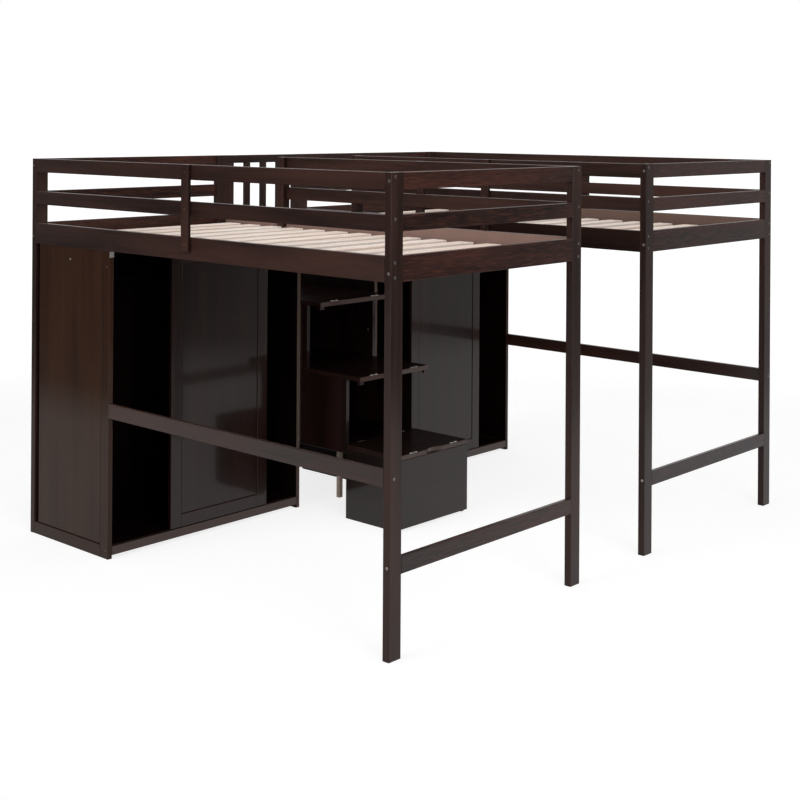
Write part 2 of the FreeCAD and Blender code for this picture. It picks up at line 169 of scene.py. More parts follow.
def stretched_noise(tree: bpy.types.NodeTree, place: bpy.types.NodeSocket, long: float, wide: float,
                    detail: float = 2.0, distortion: float = 0.0) -> bpy.types.NodeSocket:
    """Adds noise drawn out along the grain.

    Args:
        tree: Material tree.
        place: Coordinates in metres with X along the grain.
        long: Size of a patch along the grain in metres.
        wide: Size of a patch across the grain in metres.
        detail: Octaves of the noise.
        distortion: How much the noise bends itself.

    Returns:
        Value socket from 0 to 1.
    """
    scaled = add(tree, "ShaderNodeMapping", {"Vector": place, "Scale": (1 / long, 1 / wide, 1 / wide)})
    return add(tree, "ShaderNodeTexNoise", {
        "Vector": scaled["Vector"], "Scale": 1.0, "Detail": detail,
        "Distortion": distortion})["Fac"]


@dataclass(frozen=True)
class Layer:
    """A colour that covers the ones below it where a mask says so.

    Attributes:
        mask: Socket of the mask.
        bare: Mask value at which it covers nothing.
        full: Mask value at which it covers all that it may.
        share: How much it covers there.
        colour: The colour.
    """

    mask: bpy.types.NodeSocket
    bare: float
    full: float
    share: float
    colour: str


def layered(tree: bpy.types.NodeTree, colour: bpy.types.NodeSocket | tuple, layers: Iterable[Layer]
            ) -> bpy.types.NodeSocket:
    """Lays colours over one another.

    Args:
        tree: Material tree.
        colour: The lowest one, a linear colour or a socket.
        layers: The ones above it, the lowest first.

    Returns:
        Colour socket.
    """
    for layer in layers:
        cover = add(tree, "ShaderNodeMapRange", {
            0: layer.mask, 1: layer.bare, 2: layer.full, 4: layer.share})[0]
        colour = add(tree, "ShaderNodeMix", {0: cover, 6: colour, 7: shade(layer.colour)},
                     data_type="RGBA")[2]
    return colour


def board_tone(tree: bpy.types.NodeTree, grain: Grain, colour: bpy.types.NodeSocket, dark: float,
               light: float) -> bpy.types.NodeSocket:
    """Makes each board a little darker or lighter than the others, where boards store a tone.

    Args:
        tree: Material tree.
        grain: How the grain runs.
        colour: Colour of the wood.
        dark: Brightness of the darkest board.
        light: Brightness of the lightest board.

    Returns:
        Colour socket.
    """
    if grain is not Grain.BOARD:
        return colour
    tone = add(tree, "ShaderNodeAttribute", attribute_name="tone")["Fac"]
    value = add(tree, "ShaderNodeMapRange", {0: tone, 3: dark, 4: light})[0]
    return add(tree, "ShaderNodeHueSaturation", {"Value": value, "Color": colour})["Color"]


def worn_edge(tree: bpy.types.NodeTree, radius: float) -> tuple[bpy.types.NodeSocket, bpy.types.NodeSocket]:
    """Adds a rounded normal and a mask that is 1 on the outer edges of a board.

    Args:
        tree: Material tree.
        radius: Width of the edge in metres.

    Returns:
        Normal socket and mask socket.
    """
    rounded = add(tree, "ShaderNodeBevel", {"Radius": radius}, samples=4)["Normal"]
    flat = add(tree, "ShaderNodeNewGeometry")["True Normal"]
    facing = add(tree, "ShaderNodeVectorMath", {0: rounded, 1: flat}, operation="DOT_PRODUCT")
    mask = add(tree, "ShaderNodeMapRange", {0: facing["Value"], 1: 1.0, 2: 0.86})[0]
    return rounded, mask


EAST, WEST = (1.0, 0.0, 0.0), (-1.0, 0.0, 0.0)
NORTH, SOUTH = (0.0, 1.0, 0.0), (0.0, -1.0, 0.0)
UP = (0.0, 0.0, 1.0)
# A face's own tone starts at the first of these cosines to its direction and is full at the second.
FACE_LIMITS = (0.6, 0.8)


@dataclass(frozen=True)
class FaceTone:
    """How the faces of a board that look one way differ from the rest; the finishes use it to paint shade on
    some faces and light on others.

    Attributes:
        toward: Direction in the piece's own axes.
        colour: Colour of those faces.
        share: How much of that colour they take.
        gloss: Share of the lacquer's gloss that they keep.
    """

    toward: tuple[float, float, float]
    colour: str
    share: float
    gloss: float = 1.0


@dataclass(frozen=True)
class StainedWood:
    """Plantation hardwood, planed, stained dark brown and sprayed with lacquer.

    Close grain in long faint bands of brown under the stain, a reddish cast where the stain is
    thin, short dark pores, and pale edges where the lacquer is thin; the pale edges are partly wear
    and partly a painted edge highlight.

    Patches, flecks and pores are given by their length along the grain and their width.
    """

    name: str
    deep: str = "#1d110e"
    body: str = "#301d18"
    warm: str = "#42261e"
    rubbed: str = "#4b332a"
    roughness: float = 0.38
    specular: float = 0.23
    coat: float = 0.23
    coat_roughness: float = 0.13
    band: float = 14 * MM
    streak: float = 420 * MM
    edge: float = 1.8 * MM
    edge_gloss: float = 0.35
    under_gloss: float = 0.15
    relief: float = 0.25
    fleck: float = 0.15
    cast_patch: tuple[float, float] = (900 * MM, 120 * MM)
    fleck_patch: tuple[float, float] = (55 * MM, 4 * MM)
    # Pores are 0.2 mm wide in the wood, drawn 1.2 mm wide so that they show at all.
    pore: tuple[float, float] = (26 * MM, 1.2 * MM)
    worn_patch: tuple[float, float] = (160 * MM, 60 * MM)
    faces: tuple[FaceTone, ...] = ()

    def make(self, grain: Grain, shift: float = 0.0) -> bpy.types.Material:
        """Builds the material.

        Args:
            grain: How the grain runs.
            shift: Distance that moves the pattern.

        Returns:
            The material.
        """
        material, tree = empty_material(f"{self.name}_{grain.name.lower()}")
        place = grain_place(tree, grain, shift)
        bands = stretched_noise(tree, place, self.streak, self.band, 4.0, 0.6)
        cast = stretched_noise(tree, place, *self.cast_patch)
        pores = stretched_noise(tree, place, *self.pore, 1.0)
        flecks = stretched_noise(tree, place, *self.fleck_patch, 2.0, 0.4)
        colour = layered(tree, shade(self.deep), (
            Layer(bands, 0.36, 0.66, 1.0, self.body), Layer(cast, 0.42, 0.72, 0.75, self.warm),
            Layer(flecks, 0.52, 0.68, self.fleck, self.rubbed),
            Layer(flecks, 0.46, 0.34, self.fleck, self.deep), Layer(pores, 0.62, 0.74, 0.55, self.deep)))
        colour = board_tone(tree, grain, colour, 0.86, 1.16)
        coat, specular = self.coat, self.specular
        normal = add(tree, "ShaderNodeTexCoord")["Normal"]
        # Faces that look one way take painted shade and painted light here, and shine less where set.
        for face in self.faces:
            mask = add(tree, "ShaderNodeVectorMath", {0: normal, 1: face.toward},
                       operation="DOT_PRODUCT")["Value"]
            colour = layered(tree, colour, [Layer(mask, *FACE_LIMITS, face.share, face.colour)])
            if face.gloss < 1.0:
                coat, specular = (add(tree, "ShaderNodeMapRange", {
                    0: mask, 1: FACE_LIMITS[0], 2: FACE_LIMITS[1], 3: level, 4: level * face.gloss})[0]
                    for level in (coat, specular))
        rounded, edge_mask = worn_edge(tree, self.edge)
        # Pale edges in patches: partly wear of the stain, partly a painted edge highlight.
        patches = stretched_noise(tree, place, *self.worn_patch, 3.0)
        patchy = add(tree, "ShaderNodeMapRange", {0: patches, 1: 0.35, 2: 0.7, 3: 0.1, 4: 0.6})[0]
        rubbed = add(tree, "ShaderNodeMath", {0: edge_mask, 1: patchy}, operation="MULTIPLY")[0]
        colour = layered(tree, colour, [Layer(rubbed, 0.0, 1.0, 1.0, self.rubbed)])
        # The lacquer is thin on the edges and on the undersides, so they shine less.
        rise = add(tree, "ShaderNodeSeparateXYZ", {0: normal})["Z"]
        thin = add(tree, "ShaderNodeMapRange", {0: edge_mask, 3: 1.0, 4: self.edge_gloss})[0]
        under = add(tree, "ShaderNodeMapRange", {0: rise, 1: -0.6, 2: -0.3, 3: self.under_gloss})[0]
        worn = add(tree, "ShaderNodeMath", {0: thin, 1: under}, operation="MULTIPLY")[0]
        coat, specular = (add(tree, "ShaderNodeMath", {0: level, 1: worn}, operation="MULTIPLY")[0]
                          for level in (coat, specular))
        pits = add(tree, "ShaderNodeMapRange", {0: pores, 1: 0.6, 2: 0.75, 4: -0.6})[0]
        height = add(tree, "ShaderNodeMath", {0: bands, 1: pits}, operation="ADD")[0]
        bump = add(tree, "ShaderNodeBump", {
            "Strength": self.relief, "Distance": 0.25 * MM, "Height": height, "Normal": rounded})[0]
        rough = add(tree, "ShaderNodeMapRange", {
            0: cast, 1: 0.3, 2: 0.7, 3: self.roughness - 0.05, 4: self.roughness + 0.07})[0]
        return finished(material, {
            "Base Color": colour, "Roughness": rough, "Normal": bump, "IOR": 1.5,
            "Specular IOR Level": specular, "Coat Weight": coat, "Coat Roughness": self.coat_roughness,
            "Coat IOR": 1.5})


@dataclass(frozen=True)
class RawPine:
    """Pine, planed and left raw: pale straw, soft growth lines along the board, a few small knots.

    Patches, lines and fibres are given by their length along the grain and their width.
    """

    name: str
    pale: str = "#fbeee4"
    body: str = "#f4dfd1"
    late: str = "#dcb69d"
    knot: str = "#8a5a3a"
    edge: float = 2 * MM
    bend: tuple[float, float] = (700 * MM, 60 * MM)
    line: tuple[float, float] = (600 * MM, 7 * MM)
    # Fibres are far finer in the wood, drawn 1.5 mm wide so that they show at all.
    fibre: tuple[float, float] = (60 * MM, 1.5 * MM)
    knotty: tuple[float, float] = (300 * MM, 90 * MM)
    knots_per_metre: tuple[float, float, float] = (3.2, 13.0, 13.0)

    def make(self, grain: Grain, shift: float = 0.0) -> bpy.types.Material:
        """Builds the material.

        Args:
            grain: How the grain runs.
            shift: Distance that moves the pattern.

        Returns:
            The material.
        """
        material, tree = empty_material(f"{self.name}_{grain.name.lower()}")
        place = grain_place(tree, grain, shift)
        bend = stretched_noise(tree, place, *self.bend)
        lines = stretched_noise(tree, place, *self.line, 2.0, 0.8)
        fibre = stretched_noise(tree, place, *self.fibre, 1.0)
        cells = add(tree, "ShaderNodeMapping", {
            "Vector": place, "Scale": self.knots_per_metre})["Vector"]
        spot = add(tree, "ShaderNodeTexVoronoi", {"Vector": cells, "Scale": 1.0})["Distance"]
        some = stretched_noise(tree, place, *self.knotty, 0.0)
        near = add(tree, "ShaderNodeMapRange", {0: spot, 1: 0.10, 2: 0.04})[0]
        few = add(tree, "ShaderNodeMapRange", {0: some, 1: 0.54, 2: 0.60, 4: 0.8})[0]
        knots = add(tree, "ShaderNodeMath", {0: near, 1: few}, operation="MULTIPLY")[0]
        colour = layered(tree, shade(self.body), (
            Layer(bend, 0.35, 0.65, 1.0, self.pale), Layer(lines, 0.55, 0.70, 0.5, self.late),
            Layer(fibre, 0.55, 0.75, 0.16, self.late), Layer(knots, 0.0, 1.0, 1.0, self.knot)))
        colour = board_tone(tree, grain, colour, 0.92, 1.05)
        rounded, _ = worn_edge(tree, self.edge)
        bump = add(tree, "ShaderNodeBump", {
            "Strength": 0.3, "Distance": 0.3 * MM, "Height": fibre, "Normal": rounded})[0]
        rough = add(tree, "ShaderNodeMapRange", {0: fibre, 1: 0.3, 2: 0.7, 3: 0.62, 4: 0.78})[0]
        return finished(material, {
            "Base Color": colour, "Roughness": rough, "Normal": bump, "IOR": 1.5, "Specular IOR Level": 0.35})


@dataclass(frozen=True)
class ZincPlate:
    """Mild steel, pressed and zinc-plated: bright grey, slightly cloudy, with soft reflections."""

    name: str
    bright: str = "#dad8d3"
    cloudy: str = "#a5a39e"
    roughness: float = 0.32
    cloud: float = 9 * MM

    def make(self) -> bpy.types.Material:
        """Builds the material.

        Returns:
            The material.
        """
        material, tree = empty_material(self.name)
        place = add(tree, "ShaderNodeTexCoord")["Object"]
        cloud = add(tree, "ShaderNodeTexNoise", {
            "Vector": place, "Scale": 1 / self.cloud, "Detail": 3.0})["Fac"]
        colour = layered(tree, shade(self.bright), [Layer(cloud, 0.35, 0.7, 0.7, self.cloudy)])
        rough = add(tree, "ShaderNodeMapRange", {
            0: cloud, 1: 0.3, 2: 0.7, 3: self.roughness - 0.06, 4: self.roughness + 0.12})[0]
        return finished(material, {"Base Color": colour, "Roughness": rough, "Metallic": 1.0})


@dataclass(frozen=True)
class Board:
    """One board: its corners and the way its grain runs."""

    low: tuple[float, float, float]
    high: tuple[float, float, float]
    grain: Grain


def board_piece(name: str, boards: list[Board], ease: float, seed: int) -> bpy.types.Object:
    """Builds boards with rounded edges as one mesh, each with its own place in the wood.

    Args:
        name: Name of the piece.
        boards: The boards.
        ease: Radius of the edges in metres.
        seed: Start of the random places and tones.

    Returns:
        The new object, linked to the scene.
    """
    dice = random.Random(seed)
    bm = bmesh.new()
    grain_layer = bm.verts.layers.float_vector.new("grain")
    tone_layer = bm.verts.layers.float.new("tone")
    for board in boards:
        axis = list(Grain).index(board.grain)
        low, high = Vector(board.low), Vector(board.high)
        before = set(bm.verts)
        place = Matrix.Translation((low + high) / 2) @ Matrix.Diagonal((*(high - low), 1.0))
        made = bmesh.ops.create_cube(bm, size=1.0, matrix=place)["verts"]
        edges = list({edge for vert in made for edge in vert.link_edges})
        bmesh.ops.bevel(bm, geom=edges, offset=ease, segments=2, profile=0.5, affect="EDGES")
        start = Vector([dice.uniform(0, WOOD_REACH) for _ in range(3)])
        tone = dice.random()
        for vert in bm.verts:
            if vert not in before:
                vert[grain_layer] = Vector([vert.co[(axis + i) % 3] for i in range(3)]) + start
                vert[tone_layer] = tone
    mesh = bpy.data.meshes.new(name)
    bm.to_mesh(mesh)
    bm.free()
    return linked(name, mesh)


def dress(piece: bpy.types.Object, material: bpy.types.Material) -> None:
    """Gives a piece one material in every slot.

    Args:
        piece: The piece.
        material: Its finish.
    """
    if not piece.data.materials:
        piece.data.materials.append(material)
    for index in range(len(piece.data.materials)):
        piece.data.materials[index] = material


def stand_in(piece: bpy.types.Object, material: bpy.types.Material, body: str, slot: str,
             *nodes: str) -> None:
    """Finishes a piece that stands for CAD nodes.

    Args:
        piece: The piece.
        material: Its finish.
        body: Body that it rides on.
        slot: Not used.
        nodes: CAD nodes that it stands for.
    """
    dress(piece, material)
    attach(piece, body)
    if nodes:
        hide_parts(*nodes)
    LOG.info("%s on %s: %d faces", piece.name, body, len(piece.data.polygons))


def growing_tree(name: str, **kinds: str) -> tuple[bpy.types.NodeTree, bpy.types.bpy_prop_collection]:
    """Starts a Geometry Nodes tree that takes and gives geometry and has named inputs.

    Args:
        name: Name of the tree.
        kinds: Input name to kind of socket, such as Pitch="Float".

    Returns:
        The tree and the sockets of its inputs.
    """
    tree = bpy.data.node_groups.new(name, "GeometryNodeTree")
    for label, kind in (("Geometry", "Geometry"), *kinds.items()):
        tree.interface.new_socket(label, in_out="INPUT", socket_type=f"NodeSocket{kind}")
    tree.interface.new_socket("Geometry", in_out="OUTPUT", socket_type="NodeSocketGeometry")
    return tree, add(tree, "NodeGroupInput")


def copies_tree(name: str) -> bpy.types.NodeTree:
    """Builds a Geometry Nodes tree that sets one shape on every point of a mesh.

    Each point's "aim" attribute turns the shape's Z axis.

    Args:
        name: Name of the tree.

    Returns:
        The tree.
    """
    tree, entry = growing_tree(name, Shape="Object", Spin="Float", Seed="Int", Material="Material")
    aim = add(tree, "GeometryNodeInputNamedAttribute", {"Name": "aim"}, data_type="FLOAT_VECTOR")[0]
    turned = add(tree, "FunctionNodeAlignRotationToVector", {"Vector": aim}, axis="Z")[0]
    spin = add(tree, "FunctionNodeRandomValue", {2: 0.0, 3: entry["Spin"], "Seed": entry["Seed"]},
               data_type="FLOAT")[1]
    about = add(tree, "FunctionNodeAxisAngleToRotation", {"Axis": (0.0, 0.0, 1.0), "Angle": spin})[0]
    rotation = add(tree, "FunctionNodeRotateRotation", {0: turned, 1: about},
                   rotation_space="LOCAL")[0]
    shape = add(tree, "GeometryNodeObjectInfo", {"Object": entry["Shape"]})["Geometry"]
    copies = add(tree, "GeometryNodeInstanceOnPoints", {
        "Points": entry["Geometry"], "Instance": shape, "Rotation": rotation})[0]
    solid = add(tree, "GeometryNodeRealizeInstances", {0: copies})[0]
    dressed = add(tree, "GeometryNodeSetMaterial", {"Geometry": solid, "Material": entry["Material"]})
    add(tree, "NodeGroupOutput", {0: dressed[0]})
    return tree


def slats_tree(name: str) -> bpy.types.NodeTree:
    """Builds a Geometry Nodes tree that lays slats in a row along Y.

    Each slat stores its own tone and its own place in the wood.

    Args:
        name: Name of the tree.

    Returns:
        The tree.
    """
    tree, entry = growing_tree(name, First="Vector", Pitch="Float", Count="Int", Shape="Object", Seed="Int",
                               Material="Material")
    step = add(tree, "ShaderNodeCombineXYZ", {"Y": entry["Pitch"]})[0]
    line = add(tree, "GeometryNodeMeshLine", {
        "Count": entry["Count"], "Start Location": entry["First"], "Offset": step}, mode="OFFSET")[0]
    place = add(tree, "FunctionNodeRandomValue", {
        0: (0.0, 0.0, 0.0), 1: (WOOD_REACH, WOOD_REACH, WOOD_REACH), "Seed": entry["Seed"]},
        data_type="FLOAT_VECTOR")[0]
    tone = add(tree, "FunctionNodeRandomValue", {2: 0.0, 3: 1.0, "Seed": entry["Seed"]},
               data_type="FLOAT")[1]
    for label, value, kind in (("start", place, "FLOAT_VECTOR"), ("tone", tone, "FLOAT")):
        line = add(tree, "GeometryNodeStoreNamedAttribute", {
            "Geometry": line, "Name": label, "Value": value}, data_type=kind, domain="POINT")[0]
    shape = add(tree, "GeometryNodeObjectInfo", {"Object": entry["Shape"]})["Geometry"]
    copies = add(tree, "GeometryNodeInstanceOnPoints", {"Points": line, "Instance": shape})[0]
    solid = add(tree, "GeometryNodeRealizeInstances", {0: copies})[0]
    start = add(tree, "GeometryNodeInputNamedAttribute", {"Name": "start"},
                data_type="FLOAT_VECTOR")[0]
    position = add(tree, "GeometryNodeInputPosition")[0]
    grain = add(tree, "ShaderNodeVectorMath", {0: position, 1: start}, operation="ADD")[0]
    marked = add(tree, "GeometryNodeStoreNamedAttribute", {
        "Geometry": solid, "Name": "grain", "Value": grain},
        data_type="FLOAT_VECTOR", domain="POINT")[0]
    dressed = add(tree, "GeometryNodeSetMaterial", {"Geometry": marked, "Material": entry["Material"]})
    add(tree, "NodeGroupOutput", {0: dressed[0]})
    return tree


def grown(name: str, base: bpy.types.Mesh, tree: bpy.types.NodeTree, values: dict) -> bpy.types.Object:
    """Runs a Geometry Nodes tree and keeps the result as a plain mesh.

    Args:
        name: Name of the piece.
        base: Mesh that the tree starts from.
        tree: The tree.
        values: Input name to value.

    Returns:
        The new object, linked to the scene.
    """
    carrier = linked(f"{name}_carrier", base)
    modifier = carrier.modifiers.new("copies", "NODES")
    modifier.node_group = tree
    for item in tree.interface.items_tree:
        if item.in_out == "INPUT" and item.name in values:
            modifier[item.identifier] = values[item.name]
    bpy.context.view_layer.update()
    evaluated = carrier.evaluated_get(bpy.context.evaluated_depsgraph_get())
    mesh = bpy.data.meshes.new_from_object(evaluated)
    mesh.name = name
    bpy.data.objects.remove(carrier)
    return linked(name, mesh)


Spot = tuple[Vector, Vector]


def spot(place: Iterable[float], toward: Iterable[float]) -> Spot:
    """Pairs the place of a fastener with the direction that its head faces.

    Args:
        place: Coordinates in metres.
        toward: The direction.

    Returns:
        Both as vectors.
    """
    return Vector(place), Vector(toward)


def point_mesh(name: str, points: list[Spot]) -> bpy.types.Mesh:
    """Makes a mesh of bare points, each with the direction that it faces.

    Args:
        name: Name of the mesh.
        points: Place and direction of each point.

    Returns:
        The mesh.
    """
    mesh = bpy.data.meshes.new(name)
    mesh.from_pydata([tuple(place) for place, _ in points], [], [])
    aim = mesh.attributes.new("aim", "FLOAT_VECTOR", "POINT")
    for index, (_, direction) in enumerate(points):
        aim.data[index].vector = direction
    return mesh


@dataclass(frozen=True)
class Head:
    """Head of a bolt or a screw, turned about Z, with a flat-sided socket in its top.

    Attributes:
        name: Name of the shape.
        outline: Radius and height pairs from the rim to the top edge.
        facets: Flat faces round the head.
        corners: Corners of the socket, 6 for a hexagon or 4 for a cross head's square.
        socket: Radius of the socket's corners.
        deep: Depth of the socket.
        metal: Finish of the head.
    """

    name: str
    outline: tuple[tuple[float, float], ...]
    facets: int
    corners: int
    socket: float
    deep: float
    metal: ZincPlate

    @staticmethod
    def ring(bm: bmesh.types.BMesh, radius: float, height: float, count: int) -> list[bmesh.types.BMVert]:
        """Adds points evenly round Z.

        Args:
            bm: Mesh that gets them.
            radius: Their distance from Z.
            height: Their height.
            count: How many they are.

        Returns:
            The points.
        """
        turns = [2 * math.pi * i / count for i in range(count)]
        return [bm.verts.new((radius * math.cos(turn), radius * math.sin(turn), height)) for turn in turns]

    def make(self) -> bpy.types.Object:
        """Turns the head and sinks its socket.

        Returns:
            The shape's object, which isn't linked to the scene.
        """
        bm = bmesh.new()
        rings = [self.ring(bm, radius, height, self.facets) for radius, height in self.outline]
        for lower, upper in zip(rings, rings[1:]):
            for i in range(self.facets):
                j = (i + 1) % self.facets
                bm.faces.new((lower[i], lower[j], upper[j], upper[i]))
        top = self.outline[-1][1]
        mouth = self.ring(bm, self.socket, top, self.corners)
        floor = self.ring(bm, self.socket, top - self.deep, self.corners)
        step = self.facets // self.corners
        for i in range(self.corners):
            j = (i + 1) % self.corners
            arc = [rings[-1][(i * step + k) % self.facets] for k in range(step + 1)]
            bm.faces.new((*arc, mouth[j], mouth[i]))
            bm.faces.new((mouth[i], mouth[j], floor[j], floor[i]))
        bm.faces.new(floor)
        bm.faces.new(list(reversed(rings[0])))
        bmesh.ops.recalc_face_normals(bm, faces=bm.faces)
        mesh = bpy.data.meshes.new(self.name)
        bm.to_mesh(mesh)
        bm.free()
        mesh.materials.append(self.metal.make())
        return bpy.data.objects.new(self.name, mesh)


@dataclass(frozen=True)
class Hardware:
    """Shapes of the fasteners and the tree that sets them out."""

    bolt: bpy.types.Object
    screw: bpy.types.Object
    dark_screw: bpy.types.Object
    tree: bpy.types.NodeTree
    steel: bpy.types.Material

    def set_out(self, name: str, shape: bpy.types.Object, points: list[Spot], body: str,
                seed: int, *nodes: str) -> None:
        """Sets fasteners on points and lets them ride on a body.

        Args:
            name: Name of the piece.
            shape: Bolt or screw head.
            points: Place and direction of each.
            body: Body that they ride on.
            seed: Start of their random turns.
            nodes: CAD nodes that they stand for.
        """
        metal = shape.data.materials[0]
        piece = grown(name, point_mesh(f"{name}_points", points), self.tree, {
            "Shape": shape, "Spin": 2 * math.pi, "Seed": seed, "Material": metal})
        stand_in(piece, metal, body, "steel", *nodes)


def make_hardware() -> Hardware:
    """Makes the fastener shapes.

    Returns:
        The hardware.
    """
    steel = ZincPlate("zinc_plated_steel")
    grey = ZincPlate("nickel_plated_steel", "#9c9691", "#5e5955", 0.3)
    dark = ZincPlate("bronze_plated_steel", "#6d5a4c", "#40342c", 0.4)
    bolt = Head("bolt_head", ((5.2 * MM, 0.0), (5.2 * MM, 0.9 * MM), (4.6 * MM, 1.2 * MM)), 18, 6, 2.6 * MM,
                0.9 * MM, grey)
    screw = Head("screw_head", ((3.6 * MM, 0.0), (3.4 * MM, 0.4 * MM), (2.4 * MM, 0.7 * MM)), 16, 4, 1.3 * MM,
                 0.6 * MM, steel)
    dark_screw = replace(screw, name="dark_screw_head", metal=dark)
    shapes = [head.make() for head in (bolt, screw, dark_screw)]
    return Hardware(*shapes, copies_tree("fasteners_on_points"), shapes[1].data.materials[0])


class Finishes:
    """Keeps one material for each finish, grain and variant, so that boards differ from their neighbours."""

    def __init__(self) -> None:
        """Sets the finishes; a material is made when it is first asked for."""
        self.solid = StainedWood("stained_hardwood_satin")
        # The west faces of the posts shine less and take a flatter colour: painted shade.
        self.post = replace(
            self.solid, name="stained_hardwood_post", body="#2f1f1b", warm="#3f2923", specular=0.19,
            coat=0.17, faces=(FaceTone(WEST, "#2f1f1b", 0.2, 0.65),))
        # The south faces of the struts are near black and shine less: painted shade.
        self.strut = replace(self.solid, name="stained_hardwood_strut", faces=(
            FaceTone(SOUTH, "#140b09", 0.8, 0.4),))
        self.ruddy = replace(
            self.solid, name="stained_hardwood_ruddy", deep="#130908", body="#2d1b16", warm="#47261e",
            rubbed="#5c3327", coat=0.2, band=8 * MM, streak=170 * MM, fleck=0.5)
        # Painted shade on the west faces and painted bounce light on the east faces.
        self.shaded = replace(self.solid, name="stained_hardwood_shaded", faces=(
            FaceTone(WEST, "#160d0a", 0.7, 0.35), FaceTone(EAST, "#80695f", 0.85)))
        # Pale inner faces of the beams: painted bounce light from the slats.
        self.thin_east, self.thin_west, self.thin_far = (
            replace(self.solid, name=f"stained_thin_{word}", faces=(FaceTone(way, pale, 0.85),))
            for word, way, pale in (
                ("east", EAST, "#80695f"), ("west", WEST, "#8f7369"), ("far", WEST, "#6d574d")))
        self.sheet = StainedWood(
            "stained_veneer_gloss", deep="#1a0f0c", body="#231410", warm="#2e1b16", roughness=0.34,
            specular=0.14, coat=0.42, coat_roughness=0.07, band=26 * MM, streak=900 * MM, relief=0.08,
            fleck=0.06)
        side = replace(self.sheet, deep="#2b1a12", body="#352117", warm="#3d2719", specular=0.04, coat=0.26)
        # The inner faces of the wardrobes' outer sides are near black and barely shine: painted shade inside
        # the wardrobe.
        self.side_east, self.side_west = (
            replace(side, name=f"stained_side_{word}", faces=(FaceTone(way, "#0a0504", 0.95, 0.15),))
            for word, way in (("east", EAST), ("west", WEST)))
        self.door = replace(
            self.sheet, name="stained_veneer_door", body="#22110d", warm="#2c1612", coat=0.4,
            coat_roughness=0.085)
        self.box = replace(
            self.sheet, name="stained_veneer_box", deep="#0d0706", body="#1b0d0b", warm="#281512",
            rubbed="#2a1a15", coat=0.385)
        # Near-black, dull veneer for the wardrobes' insides, tops and rods: painted shade.
        self.inside = replace(
            self.box, name="stained_veneer_dark", deep="#070303", body="#0d0706", warm="#150c09",
            rubbed="#1c110e", roughness=0.5, specular=0.02, coat=0.0)
        # The backs and box floors take the painted shade too, all but their north faces, which keep a brown
        # of their own.
        self.backing = replace(self.inside, name="stained_veneer_backing", faces=(
            FaceTone(NORTH, "#271914", 0.9),))
        # The wardrobes' inner sides take the painted shade, with a pale front edge that is a painted
        # highlight.
        self.edged = replace(self.inside, name="stained_veneer_edged", faces=(
            FaceTone(SOUTH, "#65564f", 0.85),))
        # Treads, lid and wardrobe bases: a near-black top that shines less is painted shade and dark
        # reflection, and a pale front face is painted light.
        self.tread, self.lid = (
            replace(self.sheet, name=f"stained_{word}", faces=(
                FaceTone(UP, top, 0.9, gloss), FaceTone(SOUTH, "#4c3833", 0.8)))
            for word, top, gloss in (("tread", "#0b0504", 0.15), ("lid", "#120a08", 0.6)))
        self.pine = RawPine("raw_pine")
        self.batten = RawPine("raw_pine_batten", pale="#ffecdc", body="#ffdcc4", late="#eebd99")
        self.made: dict[tuple[str, Grain, int], bpy.types.Material] = {}

    def get(self, finish: StainedWood | RawPine, grain: Grain, variant: int = 0) -> bpy.types.Material:
        """Gives the material of a finish, made on first use.

        Args:
            finish: The finish.
            grain: How the grain runs.
            variant: Which part of the wood is shown.

        Returns:
            The material.
        """
        key = (finish.name, grain, variant)
        if key not in self.made:
            self.made[key] = finish.make(grain, VARIANT_STEP * variant)
        return self.made[key]


class Side(Enum):
    """Which bed a piece belongs to, with the sign of X on its outer side."""

    LEFT = -1
    RIGHT = 1

    @property
    def word(self) -> str:
        """The side's name in the nodes.

        Returns:
            "left" or "right".
        """
        return self.name.lower()


@dataclass(frozen=True)
class SubAssembly:
    """A part of the object that is dressed with the shared finishes and hardware."""

    finishes: Finishes
    hardware: Hardware

    def node(self, name: str, finish: StainedWood | RawPine, grain: Grain, variant: int = 0) -> None:
        """Dresses a CAD node as it is.

        Args:
            name: Name of the node.
            finish: Its finish.
            grain: How its grain runs.
            variant: Which part of the wood it shows.
        """
        dress(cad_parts[name], self.finishes.get(finish, grain, variant))
        LOG.info("%s keeps its CAD shape", name)


